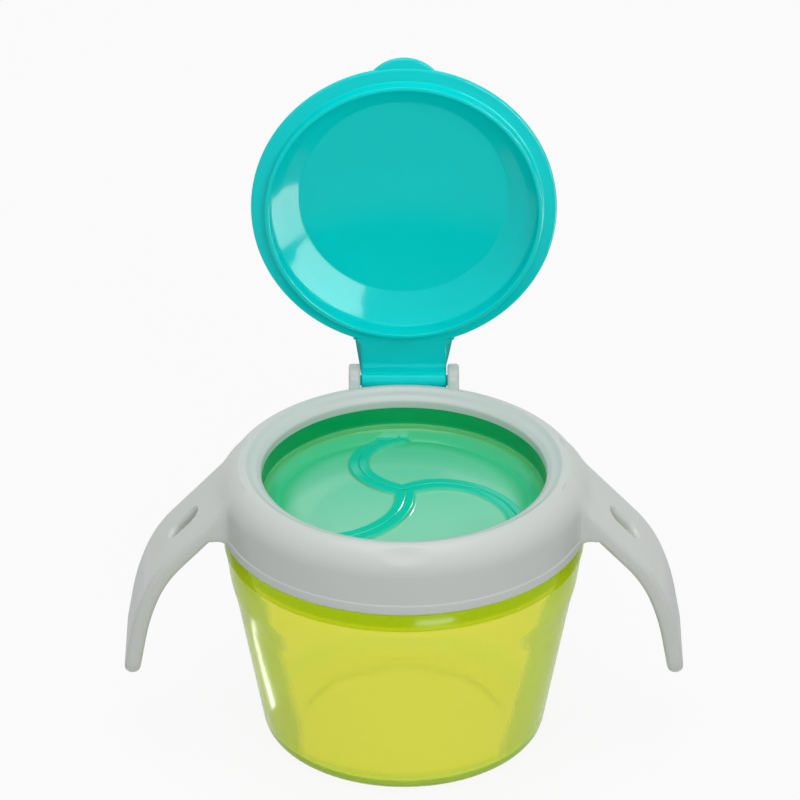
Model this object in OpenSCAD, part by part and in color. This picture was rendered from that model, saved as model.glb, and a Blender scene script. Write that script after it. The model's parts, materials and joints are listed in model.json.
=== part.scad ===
// Toddler snack container: a tapered pot, a handled collar pressed over its
// neck, a soft insert with three flaps, and a flip lid hinged on the collar.
// Units are millimetres. +Z is up, the front is -Y, the hinge is at +Y, and
// the origin is the middle of the pot's underside.

/* [Part] */
// Node to draw
// Lid angle from closed as modelled, in degrees
lid_open = 92; // [80:1:100]

/* [Pot] */
// Height of the opening edge above the table
rim_z = 70.5; // [60:0.5:85]
// Set-in of the band under the collar from the skirt's face
band_in = 0.4; // [0.1:0.1:1.2]
// Outside radius where the straight taper begins
pot_mid_r = 41.4; // [36:0.1:44]
// Drop from the opening edge to where the straight taper begins
taper_drop = 33; // [28:0.5:38]
// Outside radius of the taper carried down to the table
pot_foot_r = 34.3; // [28:0.1:38]
// Wall thickness of the pot
pot_wall = 1.8; // [1.2:0.1:2.6]
// Outer radius of the bottom edge
pot_edge_r = 4; // [2:0.5:7]

/* [Collar] */
// Radius of the opening
opening_r = 35; // [30:0.1:40]
// Outside radius of the collar's skirt
skirt_r = 44.8; // [42:0.1:48]
// Height of the skirt below the opening edge
skirt_drop = 12.7; // [9:0.1:18]
// Wall thickness of the skirt
skirt_wall = 2.1; // [1.5:0.1:3]
// Height of the crown's rounding, from the skirt to the top
crown_r = 7.4; // [6:0.1:9]
// Width of the flat seat round the opening
step_w = 3.35; // [2.5:0.05:4.5]

/* [Handles] */
// Width of each handle, front to back
handle_w = 26; // [20:0.5:32]
// Thickness of each handle
handle_t = 4; // [3:0.1:6]
// Reach of each handle from the middle
handle_x = 69.8; // [60:0.1:75]
// Drop of each handle's tip below the opening edge
handle_drop = 50.7; // [44:0.1:58]
// Radius of the handle's lower corners
handle_corner = 5; // [2:0.5:10]
// Length of the slot down the handle
slot_l = 9.5; // [6:0.5:14]
// Width of the slot
slot_w = 5; // [3:0.5:8]

/* [Insert and flaps] */
// Drop from the opening edge to the top of the membrane's middle
dome_drop = 5.1; // [3:0.1:8]
// Fall of the dome from its middle out to the opening's radius
dome_sag = 4.1; // [0:0.1:6]
// Rise of the membrane from its lowest ring to the wall
gutter_rise = 3.3; // [0:0.1:4]
// Membrane thickness
skin_t = 1; // [0.6:0.1:1.6]
// Straight length of each slit from the middle
slit_l = 32; // [24:0.1:33]
// Bulge of each slit off its straight line
slit_sag = 10.6; // [4:0.1:12]
// Turn of the first slit round the middle
slit_turn = 2.3; // [-30:0.1:30]
// Height of the ribs beside the slits
rib_h = 1; // [0.4:0.1:2]
// Width of each rib
rib_w = 2.1; // [1:0.1:3]

/* [Lid] */
// Radius of the lid's flange
flange_r = 38.1; // [36.5:0.1:39]
// Thickness of the flange
flange_t = 1.8; // [1.2:0.1:2.6]
// Thickness of the plug ring
plug_t = 1.2; // [0.8:0.1:1.8]
// Height of the plug ring
plug_h = 3.3; // [2:0.1:4.5]
// Depth of the dished middle, from the flange's face
dish_h = 7; // [3:0.5:12]
// Wall thickness of the lid
lid_wall = 1.6; // [1.2:0.1:2.4]
// Half width of the hinge strap
strap_x = 10.7; // [8:0.1:14]
// Reach of the thumb tab past the flange
tab_out = 2.5; // [1:0.1:6]
// Radius of the tab's rounded end, seen from above
tab_r = 11.5; // [8:0.5:16]

/* [Hinge] */
// Distance of the hinge axis behind the collar's skirt
hinge_out = 1.5; // [1.2:0.1:4]
// Height of the hinge axis above the opening edge
hinge_z = 1; // [0:0.1:3]
// Radius of the barrel
barrel_r = 2.3; // [1.8:0.1:2.6]
// Radius of the pins moulded on the barrel
pin_r = 1.3; // [1:0.05:2]
// Thickness of each ear
ear_t = 2.9; // [2:0.05:4]

/* [Clearances] */
// Radial gap round the hinge pins
clr_pin = 0.06; // [0.02:0.01:0.1]
// Gap between the strap and each ear
clr_ear = 0.25; // [0.2:0.05:0.6]
// Gap each side of a slit's middle line
clr_slit = 0.3; // [0.2:0.05:0.6]
// Gap between the flange and the crown when the lid is shut
clr_crown = 0.3; // [0.2:0.05:0.8]
// Radial gap between the pot's neck and the skirt
clr_neck = 0.6; // [0.4:0.05:1]
// Radial gap of the neck's bead in the skirt
clr_bead = 0.06; // [0.02:0.01:0.1]
// Radial gap of the lid's plug ring in the opening
clr_plug = 0.4; // [0.2:0.05:0.8]

/* [Hidden] */
$fn = 72;
eps = 0.01;
// Collar section, from the opening edge plane
step_r = opening_r + step_w;
crown_c = step_r - 0.95;
crown_w = skirt_r - crown_c;
crown_cz = -3.8;
crown_top = crown_cz + crown_r;
skirt_in = skirt_r - skirt_wall;
neck_r = skirt_in - clr_neck;
lip_drop = 0.6;
bore_r = opening_r + 1.3;
bore_ring = 1.7;
thumb_r = 24;
thumb_depth = 0.53;
// Handles: the top leaves the crown at slope a0, turns in two arcs to slope a2
// and runs straight to the tip. Its two straight lengths follow from the reach
// and the drop.
handle_a0 = 46.6;
handle_a1 = 68;
handle_a2 = 80;
handle_r1 = 34;
handle_r2 = 60;
handle_cap = 3.5;
root = [skirt_r - 4.6, crown_top - 2];
turned = handle_r1 * [sin(handle_a1) - sin(handle_a0), cos(handle_a1) - cos(handle_a0)]
    + handle_r2 * [sin(handle_a2) - sin(handle_a1), cos(handle_a2) - cos(handle_a1)];
left = [handle_x, -handle_drop] - root - turned;
run_0 = (sin(handle_a2) * left[0] + cos(handle_a2) * left[1]) / sin(handle_a2 - handle_a0);
run_2 = -(cos(handle_a0) * left[1] + sin(handle_a0) * left[0]) / sin(handle_a2 - handle_a0);
slot_run = 20.8;
recess_w = 0.8;
recess_d = 0.7;
// Insert
insert_flange_top = -3.2;
insert_flange_t = 1.1;
neck_top = insert_flange_top - insert_flange_t - 0.1;
membrane_r = opening_r + 0.05;
gutter_r = opening_r - 4.2;
// Slits
slit_r = (slit_l * slit_l / 4 + slit_sag * slit_sag) / (2 * slit_sag);
slit_cx = slit_r - slit_sag;
chord_h = slit_l / 2;
hinge_gap_in = 0.7;
hinge_gap_out = 0.8;
relief_r = 1.6;
// Lid, in its shut place
flange_z = crown_top + clr_crown;
flange_top = flange_z + flange_t;
plug_r = opening_r - clr_plug;
dish_r = 6.6;
dish_c = plug_r - plug_t - dish_r;
dish_z = flange_z + dish_h;
strap_t = 1.8;
tab_z = flange_z + 0.9;
tab_t = 1.6;
hinge_y = skirt_r + hinge_out;
ear_in = strap_x + clr_ear;
ear_r = 4.2;
// Pot
mid_z = rim_z - taper_drop;
band_low = rim_z - 18.4;
pot_band_r = skirt_r - band_in;
taper = (pot_mid_r - pot_foot_r) / mid_z;
taper_a = atan(taper);
edge_cx = pot_foot_r + taper * pot_edge_r - pot_edge_r / cos(taper_a);

// Points of an arc in the section plane
function arc(cx, cz, r, a0, a1, n) =
    [for (i = [0:n]) let (a = a0 + (a1 - a0) * i / n) [cx + r * cos(a), cz + r * sin(a)]];

// The same with its own height
function oval(cx, cz, rx, rz, a0, a1, n) =
    [for (i = [0:n]) let (a = a0 + (a1 - a0) * i / n) [cx + rx * cos(a), cz + rz * sin(a)]];

// Point of the pot's swell, u from the taper to the band
function swell(u, w, dr, dz) =
    [pot_mid_r + w * (pot_band_r - pot_mid_r) + dr, mid_z + u * (band_low - mid_z) + dz];

// Share of the gutter's rise that is reached at radius r
function gutter_up(r) = let (t = max(0, min(1, (r - gutter_r) / 3.6))) t * t * (3 - 2 * t);

// Height of the membrane's top face at radius r: a dome, then a rise to the wall
function skin_z(r) = -dome_drop - dome_sag * pow(r / opening_r, 2) + gutter_rise * gutter_up(r);

// ---- Pot ----
module pot() {
    shoulder = rim_z - skirt_drop;
    color([0.78, 0.84, 0.32, 0.8])
    rotate_extrude() polygon(concat(
        [[0, 0]],
        arc(edge_cx, pot_edge_r, pot_edge_r, -90, -taper_a, 6),
        [[pot_mid_r, mid_z], swell(0.32, 0.42, 0, 0), swell(0.62, 0.76, 0, 0), swell(0.87, 0.94, 0, 0),
         [pot_band_r, band_low], [pot_band_r, shoulder - 0.4], [pot_band_r - 0.4, shoulder],
         [neck_r, shoulder]],
        // Bead that grips the inside of the skirt
        [[neck_r, rim_z - 9.6], [skirt_in - clr_bead, rim_z - 9], [skirt_in - clr_bead, rim_z - 8.4],
         [neck_r, rim_z - 7.8]],
        [[neck_r, rim_z + neck_top - 0.3], [neck_r - 0.3, rim_z + neck_top],
         [neck_r - pot_wall + 0.3, rim_z + neck_top], [neck_r - pot_wall, rim_z + neck_top - 0.3],
         [neck_r - pot_wall, shoulder - 1.2], [pot_band_r - pot_wall - 0.4, shoulder - 3.2],
         swell(0.88, 0.94, -pot_wall, 0), swell(0.61, 0.76, -pot_wall, 0), swell(0.31, 0.42, -pot_wall, 0),
         swell(0, 0, -pot_wall - 0.03, -0.2)],
        arc(edge_cx, pot_edge_r + 0.2, pot_edge_r - pot_wall, -taper_a, -90, 4),
        [[0, pot_wall + 0.2]]));
}

// ---- Collar ----
// Ring as a filled section, before it is hollowed
module collar_outside() {
    rotate_extrude() polygon(concat(
        [[opening_r, -lip_drop]],
        arc(opening_r + 1.1, -0.2, 1.1, 180, 90, 4),
        [[step_r - 0.15, 1.6], [step_r, 1.75], [step_r, crown_top - 0.4]],
        oval(crown_c, crown_cz, crown_w, crown_r, 80.5, 0, 9),
        [[skirt_r, -skirt_drop + 1.7], [skirt_r + 0.3, -skirt_drop + 1.45],
         [skirt_r + 0.3, -skirt_drop + 0.2], [skirt_r + 0.1, -skirt_drop],
         [opening_r, -skirt_drop]]));
}

// Hollow under the crown, with the ring that holds the insert left standing
module collar_hollow() {
    rotate_extrude() polygon(concat(
        [[0, -skirt_drop - 1], [skirt_in + 0.4, -skirt_drop - 1], [skirt_in + 0.4, -skirt_drop],
         [skirt_in, -skirt_drop + 0.4]],
        oval(crown_c, crown_cz, crown_w - skirt_wall, crown_r - skirt_wall, 0, 42, 4),
        [[bore_r + bore_ring + 1.6, -0.5], [bore_r + bore_ring, -0.5], [bore_r + bore_ring, insert_flange_top],
         [bore_r, insert_flange_top], [bore_r, -lip_drop], [0, -lip_drop]]));
}

// Points of a bend that starts at p, from slope a0 to slope a1
function bend(p, r, a0, a1, n) =
    [for (i = [0:n]) let (a = a0 + (a1 - a0) * i / n) p + r * [sin(a) - sin(a0), cos(a) - cos(a0)]];

// The way down a slope, and the way into the strap from its outer face
function down(a) = [cos(a), -sin(a)];
function into(a) = [-sin(a), -cos(a)];

// One handle, reaching to +X
module handle() {
    p0 = root + run_0 * down(handle_a0);
    outer_1 = bend(p0, handle_r1, handle_a0, handle_a1, 7);
    outer_2 = bend(outer_1[7], handle_r2, handle_a1, handle_a2, 5);
    tip = outer_2[5] + (run_2 - handle_cap) * down(handle_a2) + handle_t / 2 * into(handle_a2);
    inner_1 = bend(p0 + handle_t * into(handle_a0), handle_r1 - handle_t, handle_a0, handle_a1, 7);
    inner_2 = bend(inner_1[7], handle_r2 - handle_t, handle_a1, handle_a2, 5);
    under_z = 1.6 - skirt_drop;
    inner_root = root + handle_t * into(handle_a0);
    under_x = inner_root[0] + (inner_root[1] - under_z) / tan(handle_a0);
    difference() {
        intersection() {
            translate([0, handle_w / 2, 0]) rotate([90, 0, 0]) linear_extrude(handle_w)
                polygon(concat(
                    [[root[0] - 1.3, under_z], [root[0] - 1.3, root[1]], root],
                    outer_1, [for (i = [1:5]) outer_2[i]],
                    [for (i = [0:8]) tip - handle_t / 2 * cos(22.5 * i) * into(handle_a2)
                        + handle_cap * sin(22.5 * i) * down(handle_a2)],
                    [for (i = [5:-1:1]) inner_2[i]], [for (i = [7:-1:0]) inner_1[i]],
                    [[under_x, under_z]]));
            // Rounded lower corners, seen from the side
            translate([skirt_r - 10, 0, 0]) rotate([90, 0, 90]) linear_extrude(handle_x)
                polygon(concat([[-handle_w / 2, 5]],
                    arc(-handle_w / 2 + handle_corner, handle_corner - handle_drop, handle_corner, 180, 270, 8),
                    arc(handle_w / 2 - handle_corner, handle_corner - handle_drop, handle_corner, 270, 360, 8),
                    [[handle_w / 2, 5]]));
        }
        // Slot with a shallow recess round it
        translate([root[0] + slot_run * cos(handle_a0), 0, root[1] - slot_run * sin(handle_a0)])
            rotate([0, handle_a0, 0]) {
                translate([0, 0, -10]) linear_extrude(16) slot_shape(slot_l, slot_w);
                translate([0, 0, -recess_d]) linear_extrude(6)
                    slot_shape(slot_l + 2 * recess_w, slot_w + 2 * recess_w);
            }
    }
}

module slot_shape(l, w) {
    polygon(concat(arc((l - w) / 2, 0, w / 2, -90, 90, 8), arc(-(l - w) / 2, 0, w / 2, 90, 270, 8)));
}

// One hinge ear, from inner face to outer face
module ear() {
    rotate([90, 0, 90]) linear_extrude(ear_t)
        polygon(concat([[crown_c + 1.2, crown_cz], [crown_c + 1.2, crown_top - 1],
             [crown_c + 4.1, crown_top - 0.7], [hinge_y - 3, hinge_z + ear_r - 1.4]],
            arc(hinge_y, hinge_z, ear_r, 140, -30, 12),
            [[hinge_y, -7], [skirt_r - 0.8, -9.5], [skirt_r - 4.8, -9.5]]));
}

module collar() {
    color([0.78, 0.81, 0.8])
    translate([0, 0, rim_z])
    difference() {
        union() {
            collar_outside();
            handle();
            mirror([1, 0, 0]) handle();
            translate([ear_in, 0, 0]) ear();
            translate([-ear_in - ear_t, 0, 0]) ear();
        }
        collar_hollow();
        // Thumb hollow under the tab
        translate([0, -crown_c - crown_w * sqrt(1 / 2) - (thumb_r - thumb_depth) * sqrt(1 / 2),
            crown_cz + (crown_r + thumb_r - thumb_depth) * sqrt(1 / 2)]) sphere(r = thumb_r);
        // Blind holes for the lid's pins
        for (s = [-1, 1])
            translate([s * (ear_in + 1), hinge_y, hinge_z]) rotate([0, 90, 0])
                cylinder(r = pin_r + clr_pin, h = 2.1, center = true);
    }
}

// ---- Insert and flaps ----
// Domed skin between two heights above its top face
module skin(lo, hi, r_out) {
    rs = [0, 7, 14, 21, 28, gutter_r, gutter_r + 1.2, gutter_r + 2.4, r_out];
    rotate_extrude() polygon(concat(
        [for (r = rs) [r, skin_z(r) + hi]],
        [for (i = [8:-1:0]) [rs[i], skin_z(rs[i]) + lo]]));
}

// Plan shapes in a slit's own frame: the slit runs from the middle to
// (0, slit_l) and bulges to -x
module slit_side(r) {
    intersection() {
        translate([slit_cx, slit_l / 2]) circle(r = r);
        translate([-40, -20]) square([40 + 2 * eps, 70]);
    }
}

module next_slit() { rotate(-120) children(); }

module flap_plan() {
    difference() {
        intersection() {
            union() {
                polygon([[-eps, 0], [-eps, slit_l], [slit_l * cos(30), -slit_l / 2]]);
                slit_side(slit_r - clr_slit);
            }
            rotate(30) translate([-60, -60]) square([60 + chord_h - hinge_gap_in, 120]);
        }
        next_slit() slit_side(slit_r + clr_slit);
        translate([0, slit_l]) circle(r = relief_r);
        rotate(-120) translate([0, slit_l]) circle(r = relief_r);
    }
}

// Band beside a slit, from a to b off its middle line
module rib_band(a, b) {
    intersection() {
        difference() {
            translate([slit_cx, slit_l / 2]) circle(r = slit_r + b);
            translate([slit_cx, slit_l / 2]) circle(r = slit_r + a);
        }
        translate([-40, -20]) square([40, 20 + slit_l - 5]);
    }
}

module flap(k) {
    color([0.32, 0.77, 0.62])
    translate([0, 0, rim_z]) rotate(slit_turn - 120 * k) {
        intersection() {
            linear_extrude(30, center = true) flap_plan();
            skin(-skin_t, 0, membrane_r);
        }
        // Raised ribs along both slits
        intersection() {
            linear_extrude(30, center = true) intersection() {
                flap_plan();
                union() {
                    rib_band(-0.6 - rib_w, -0.6);
                    next_slit() rib_band(0.6, 0.6 + rib_w);
                }
                rotate(30) translate([-60, -60]) square([60 + chord_h - 1.6, 120]);
            }
            skin(-skin_t / 2, rib_h, membrane_r);
        }
    }
}

module flap_1() { flap(0); }
module flap_2() { flap(1); }
module flap_3() { flap(2); }

module insert() {
    color([0.2, 0.68, 0.5])
    translate([0, 0, rim_z]) {
        // Wall and flange
        rotate_extrude() polygon([
            [membrane_r, -lip_drop], [bore_r, -lip_drop], [bore_r, insert_flange_top],
            [neck_r - 0.2, insert_flange_top], [neck_r - 0.2, insert_flange_top - insert_flange_t],
            [bore_r, insert_flange_top - insert_flange_t],
            [bore_r, skin_z(opening_r) - skin_t + 0.3], [bore_r - 0.3, skin_z(opening_r) - skin_t],
            [opening_r - 0.8, skin_z(opening_r) - skin_t], [opening_r - 0.8, skin_z(opening_r)],
            [membrane_r, skin_z(opening_r)]]);
        // Fixed part of the membrane round the flaps
        intersection() {
            skin(-skin_t, 0, opening_r + 0.6);
            rotate(slit_turn) linear_extrude(30, center = true) difference() {
                circle(r = opening_r + 0.6);
                for (k = [0:2]) rotate(-120 * k) {
                    slit_side(slit_r + clr_slit);
                    translate([0, slit_l]) circle(r = relief_r);
                }
                fixed_hole();
            }
        }
        // Ribs where the slits run past the bending lines
        intersection() {
            skin(-skin_t / 2, rib_h, opening_r + 0.6);
            rotate(slit_turn) linear_extrude(30, center = true) difference() {
                for (k = [0:2]) rotate(-120 * k) rib_band(0.6, 0.6 + rib_w);
                offset_hole();
            }
        }
    }
}

// Triangles round the three bending lines
module fixed_hole() { bend_triangle(chord_h + hinge_gap_out); }
module offset_hole() { bend_triangle(chord_h + hinge_gap_out + 0.3); }
module bend_triangle(h) {
    polygon([for (k = [0:2]) [2 * h * cos(90 - 120 * k), 2 * h * sin(90 - 120 * k)]]);
}

// ---- Lid ----
module lid_shut() {
    difference() {
        union() {
            // Dished shell with its flange and plug ring
            rotate_extrude() polygon(concat(
                [[0, dish_z]],
                arc(dish_c, dish_z - dish_r, dish_r, 90, 0, 8),
                [[plug_r - plug_t, flange_z - plug_h + 0.2], [plug_r - plug_t + 0.2, flange_z - plug_h],
                 [plug_r - 0.3, flange_z - plug_h], [plug_r, flange_z - plug_h + 0.4],
                 [plug_r, flange_z], [flange_r - 0.3, flange_z], [flange_r, flange_z + 0.3],
                 [flange_r, flange_top - 0.4], [flange_r - 0.4, flange_top]],
                arc(dish_c, dish_z - dish_r, dish_r + lid_wall, 10, 90, 8),
                [[0, dish_z + lid_wall]]));
            // Strap, flush with the flange's face, over the crown to the barrel
            translate([-strap_x, 0, 0]) rotate([90, 0, 90]) linear_extrude(2 * strap_x)
                polygon([[plug_r - 1, flange_z], [plug_r - 1, flange_z + strap_t],
                    [hinge_y - 2.1, flange_z + strap_t], [hinge_y + 0.1, flange_z + strap_t - 0.5],
                    [hinge_y + 1.9, flange_z - 0.6], [hinge_y + 1.1, hinge_z],
                    [hinge_y - 1.1, hinge_z], [hinge_y - 2.1, flange_z]]);
            // Thumb tab, a little above the flange's face
            translate([0, -flange_r - tab_out + tab_r, tab_z]) intersection() {
                cylinder(r = tab_r, h = tab_t);
                translate([-20, -tab_r - 1, -1]) cube([40, tab_out + 3.5, 5]);
            }
            // Barrel and its two pins
            translate([0, hinge_y, hinge_z]) rotate([0, 90, 0]) {
                cylinder(r = barrel_r, h = 2 * strap_x, center = true);
                cylinder(r = pin_r, h = 2 * (strap_x + 2), center = true);
            }
        }
        // Keeps the dish clear of the strap and the tab
        rotate_extrude() polygon(concat([[0, 0]], [[dish_c + dish_r, 0]],
            arc(dish_c, dish_z - dish_r, dish_r, 0, 90, 8), [[0, dish_z]]));
    }
}

module lid() {
    color([0.05, 0.74, 0.74])
    translate([0, hinge_y, rim_z + hinge_z]) rotate([-lid_open, 0, 0])
        translate([0, -hinge_y, -hinge_z]) lid_shut();
}

pot();
collar();
insert();
flap_1();
flap_2();
flap_3();
lid();
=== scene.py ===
# %% [markdown]
# # A toddler's snack pot with a handled collar, soft flaps and a flip lid
# The pot stands on a white table with its lid open. Each moulding gets a
# finely turned mesh that keeps to the construction model's place, and a
# plastic made from nodes. Lengths are written in millimetres and turned into
# metres at the last step, because the parts are drawn in millimetres.

# %% Load the construction model
import json
import math
import bmesh
import bpy
import numpy as np
from mathutils import Matrix, Vector


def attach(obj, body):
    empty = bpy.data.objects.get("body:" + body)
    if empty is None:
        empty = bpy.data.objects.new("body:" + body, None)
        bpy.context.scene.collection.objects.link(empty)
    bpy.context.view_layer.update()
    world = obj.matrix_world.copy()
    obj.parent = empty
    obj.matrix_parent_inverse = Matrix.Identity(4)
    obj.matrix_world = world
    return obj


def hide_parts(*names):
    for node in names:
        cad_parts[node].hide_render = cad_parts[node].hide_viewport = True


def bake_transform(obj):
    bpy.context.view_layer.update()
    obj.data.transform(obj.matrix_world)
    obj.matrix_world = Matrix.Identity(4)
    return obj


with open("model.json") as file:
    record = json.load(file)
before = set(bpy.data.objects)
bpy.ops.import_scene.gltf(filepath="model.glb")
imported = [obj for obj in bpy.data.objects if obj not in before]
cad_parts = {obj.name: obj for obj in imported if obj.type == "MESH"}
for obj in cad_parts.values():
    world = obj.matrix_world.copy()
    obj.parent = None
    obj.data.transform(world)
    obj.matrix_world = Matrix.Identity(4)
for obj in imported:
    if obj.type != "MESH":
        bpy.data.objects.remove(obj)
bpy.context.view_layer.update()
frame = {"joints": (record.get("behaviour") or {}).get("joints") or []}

MM = 0.001
hinge = next(j for j in frame["joints"] if j["name"] == "lid_hinge")

# %% [markdown]
# ## Sizes that the pieces share
# The opening's edge is the height from which the mouldings are measured. The
# hinge's axis places everything on the lid, so it is read from the joint
# itself. Naming each size once keeps the pieces in step. Radii end in _R. A
# height is counted up from the opening's edge, except on the pot, which is
# drawn from the table up.

# %% Shared sizes
RIM = 70.5
OPENING_R = 35.0
BORE_R = 36.3
SKIRT_R, SKIRT_IN_R = 44.8, 42.7
NECK_R, NECK_IN_R, NECK_TOP = 42.1, 40.35, RIM - 4.45
CROWN_TOP = 3.6
HINGE_Y = round(hinge["pos_m"][1] / MM, 3)
HINGE_Z = round(hinge["pos_m"][2] / MM - RIM, 3)
LID_OPEN = hinge["range_deg"][1]
print("opening edge at", RIM, "mm; hinge axis at", (HINGE_Y, RIM + HINGE_Z))

# %% [markdown]
# ## Turning a round piece
# Most of this object was moulded round, so its pieces are turned: a section is
# drawn as a row of corners, each with its own radius, and spun about the
# middle. Rounding the corners in the section costs nothing and gives every
# edge a soft highlight, which a bevel on the finished mesh would do less evenly.

# %% Section helpers
def soften(corners, steps=5, closed=False):
    """Corners are (x, z, radius); each becomes a true arc that is tangent to both sides."""
    out, n = [], len(corners)
    for i, (x, z, r) in enumerate(corners):
        p = np.array((x, z), float)
        if r <= 0 or (not closed and i in (0, n - 1)):
            out.append((x, z))
            continue
        a = np.array(corners[i - 1][:2], float) - p
        b = np.array(corners[(i + 1) % n][:2], float) - p
        la, lb = np.linalg.norm(a), np.linalg.norm(b)
        a, b = a / la, b / lb
        half = math.acos(max(-1, min(1, float(a @ b)))) / 2
        if half > math.pi / 2 - 1e-3:
            out.append((x, z))
            continue
        cut = min(r / math.tan(half), 0.49 * la, 0.49 * lb)
        r = cut * math.tan(half)
        mid = (a + b) / np.linalg.norm(a + b)
        c = p + mid * (r / math.sin(half))
        s, e = p + a * cut - c, p + b * cut - c
        turn = math.atan2(s[0] * e[1] - s[1] * e[0], float(s @ e))
        for k in range(steps + 1):
            t = turn * k / steps
            out.append((c[0] + s[0] * math.cos(t) - s[1] * math.sin(t),
                        c[1] + s[0] * math.sin(t) + s[1] * math.cos(t)))
    return out


def arc(cx, cz, r, a0, a1, n):
    """n + 1 points round (cx, cz) from a0 to a1 degrees."""
    turns = [math.radians(a0 + (a1 - a0) * i / n) for i in range(n + 1)]
    return [(cx + r * math.cos(t), cz + r * math.sin(t)) for t in turns]


print("a softened right corner has", len(soften([(0, 0, 0), (5, 0, 1), (5, 5, 0)])), "points")

# %% [markdown]
# ## From points to a mesh
# Blender shades each face flat or smooth. Here every face is smooth, and an
# edge stays crisp only where its two faces meet at more than a given angle, as
# at the parting edges of a moulding.

# %% Mesh helpers
def shade(mesh, angle=32):
    """Smooth faces, with a hard edge only where two faces meet sharply."""
    bm = bmesh.new()
    bm.from_mesh(mesh)
    bmesh.ops.recalc_face_normals(bm, faces=bm.faces)
    for f in bm.faces:
        f.smooth = True
    for e in bm.edges:
        sharp = len(e.link_faces) == 2 and e.calc_face_angle(0) > math.radians(angle)
        e.smooth = not sharp
    bm.to_mesh(mesh)
    bm.free()


def piece(name, verts, faces, angle=32):
    """A new object from points in millimetres."""
    mesh = bpy.data.meshes.new(name)
    mesh.from_pydata([tuple(c * MM for c in v) for v in verts], [], faces)
    mesh.validate()
    shade(mesh, angle)
    obj = bpy.data.objects.new(name, mesh)
    bpy.context.scene.collection.objects.link(obj)
    return obj


print("an edge stays crisp past 32 degrees unless a piece says otherwise")


# %% Turning helper
def turned(section, segs=192, z0=0.0, closed=True, bend=None):
    """Spins a section about Z. A point on the axis is one vertex; bend moves each of the others."""
    verts, rings, faces = [], [], []
    for x, z in section:
        if abs(x) < 1e-6:
            rings.append([len(verts)])
            verts.append((0.0, 0.0, z + z0))
            continue
        ring = []
        for k in range(segs):
            t = 2 * math.pi * k / segs
            p = (x * math.cos(t), x * math.sin(t), z + z0)
            ring.append(len(verts))
            verts.append(bend(*p) if bend else p)
        rings.append(ring)
    pairs = list(zip(rings, rings[1:])) + ([(rings[-1], rings[0])] if closed else [])
    for a, b in pairs:
        for k in range(segs):
            m = (k + 1) % segs
            if len(a) == 1 and len(b) == 1:
                break
            if len(a) == 1:
                faces.append((a[0], b[k], b[m]))
            elif len(b) == 1:
                faces.append((a[k], b[0], a[m]))
            else:
                faces.append((a[k], b[k], b[m], a[m]))
    return verts, faces


print("section and turning helpers ready")

# %% [markdown]
# ## The pot
# The pot is thin clear lime plastic: a flat foot, a straight taper, a shoulder
# that swells into a band, and a neck with a snap bead that the collar hides.
# It is drawn as one closed wall with an inside and an outside, so that light
# really crosses two skins, which is what makes the rim of the pot look greener
# than its middle. A solid block with a glassy finish would bend the light like
# a lens.

# %% Pot mesh
FOOT_R, FOOT_EDGE = 34.35, 4.6
BAND_R, BAND_FOOT, BAND_TOP = 44.4, 52.3, 56.8
BEAD_R, BEAD_Z = 42.6, RIM - 8.7
pot_out = soften([
    (0, 0.5, 0), (24, 0.5, 1), (25.5, 0, 1), (FOOT_R, 0, FOOT_EDGE), (41.4, 37.5, 30), (42.9, 43.4, 14),
    (44.0, 51.0, 8), (44.05, BAND_FOOT - 0.4, 0.2), (BAND_R, BAND_FOOT, 0.3), (BAND_R, BAND_TOP, 0.4),
    (NECK_R, BAND_TOP, 0.3), (NECK_R, BEAD_Z - 1, 0.2), (BEAD_R, BEAD_Z, 0.5), (NECK_R, BEAD_Z + 1, 0.2),
    (NECK_R, NECK_TOP, 0.6)])
pot_in = soften([
    (NECK_IN_R, NECK_TOP, 0.6), (NECK_IN_R, 53.2, 1.5), (42.2, 50.6, 5), (41.1, 43.2, 14),
    (39.6, 37.3, 30), (FOOT_R - 1.4, 2.0, 3.6), (0, 2.0, 0)], 12)
pot = piece("pot_shell", *turned(pot_out + pot_in, 224, closed=False))
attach(pot, "pot")
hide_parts("pot")
print("pot:", len(pot.data.polygons), "faces")

# %% [markdown]
# ## The collar
# Ring and handles are one moulding, with soft valleys where they meet. Each is
# first made by itself: the ring is turned and the strap is lofted. Then both
# are laid on one shared surface, the smooth union of the two, so they run into
# each other like a moulded fillet. The strap follows a straight run, two bends
# and a second straight run, and the two runs get the lengths that carry it
# from its root to its tip.

# %% Handle line
CROWN_C, CROWN_Z, CROWN_R = 37.4, -3.8, 7.4
LIP_R, LIP_TOP, LIP_FOOT = 45.1, -10.9, -13.65
A0, A1, A2 = math.radians(46.6), math.radians(68), math.radians(80)
BEND_1, BEND_2, THICK, WIDE, EASED = 34.0, 60.0, 4.0, 26.0, 1.3
ROOT, TIP = np.array((40.2, 1.6)), np.array((69.7, -50.6))
UNDER_Z = -12.1


def turned_by(r, a, b):
    """The step that a bend of radius r makes while its slope goes from a to b."""
    return r * np.array((math.sin(b) - math.sin(a), math.cos(b) - math.cos(a)))


left = TIP - ROOT - turned_by(BEND_1, A0, A1) - turned_by(BEND_2, A1, A2)
RUN_0 = (math.sin(A2) * left[0] + math.cos(A2) * left[1]) / math.sin(A2 - A0)
RUN_2 = -(math.cos(A0) * left[1] + math.sin(A0) * left[0]) / math.sin(A2 - A0)
STOPS = np.cumsum([RUN_0, BEND_1 * (A1 - A0), BEND_2 * (A2 - A1), RUN_2])
LENGTH = float(STOPS[3])


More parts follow.
